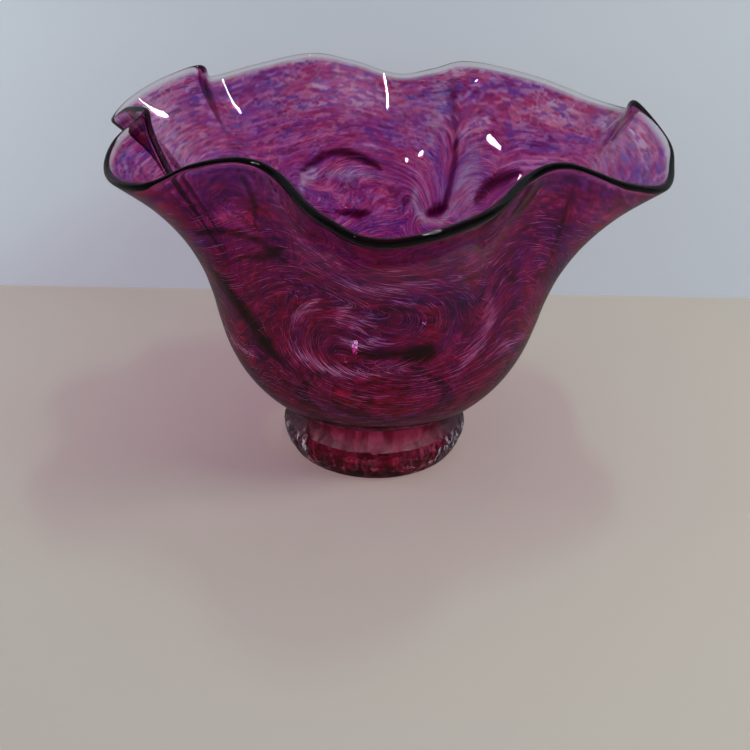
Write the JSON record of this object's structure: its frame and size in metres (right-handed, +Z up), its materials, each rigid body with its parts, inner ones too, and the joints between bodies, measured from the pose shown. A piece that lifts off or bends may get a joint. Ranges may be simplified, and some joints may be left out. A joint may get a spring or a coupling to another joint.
{
  "type": "ruffled footed glass bowl",
  "caption": "Hand-blown art-glass bowl with a wide ruffled rim, a swirled coloured layer cased in clear glass, and a clear foot with a ruby heart.",
  "frame": {"origin": "middle of the foot's flat underside", "axes": "+Z up through the bowl, -Y to the front lobe"},
  "size_m": [0.2598, 0.2692, 0.1727],
  "materials": {
    "casing_glass": "fire-polished, clear",
    "frit_glass": "cranberry, violet and pale frit, swirled",
    "lining_glass": "fire-polished, clear",
    "lip_glass": "fire-polished, clear",
    "foot_glass": "clear, ground flat underneath",
    "ruby_glass": "deep ruby"
  },
  "bodies": {
    "root": {"clear_casing": "casing_glass", "frit_layer": "frit_glass", "clear_lining": "lining_glass", "lip_bead": "lip_glass", "foot": "foot_glass", "foot_heart": "ruby_glass"}
  },
  "joints": []
}
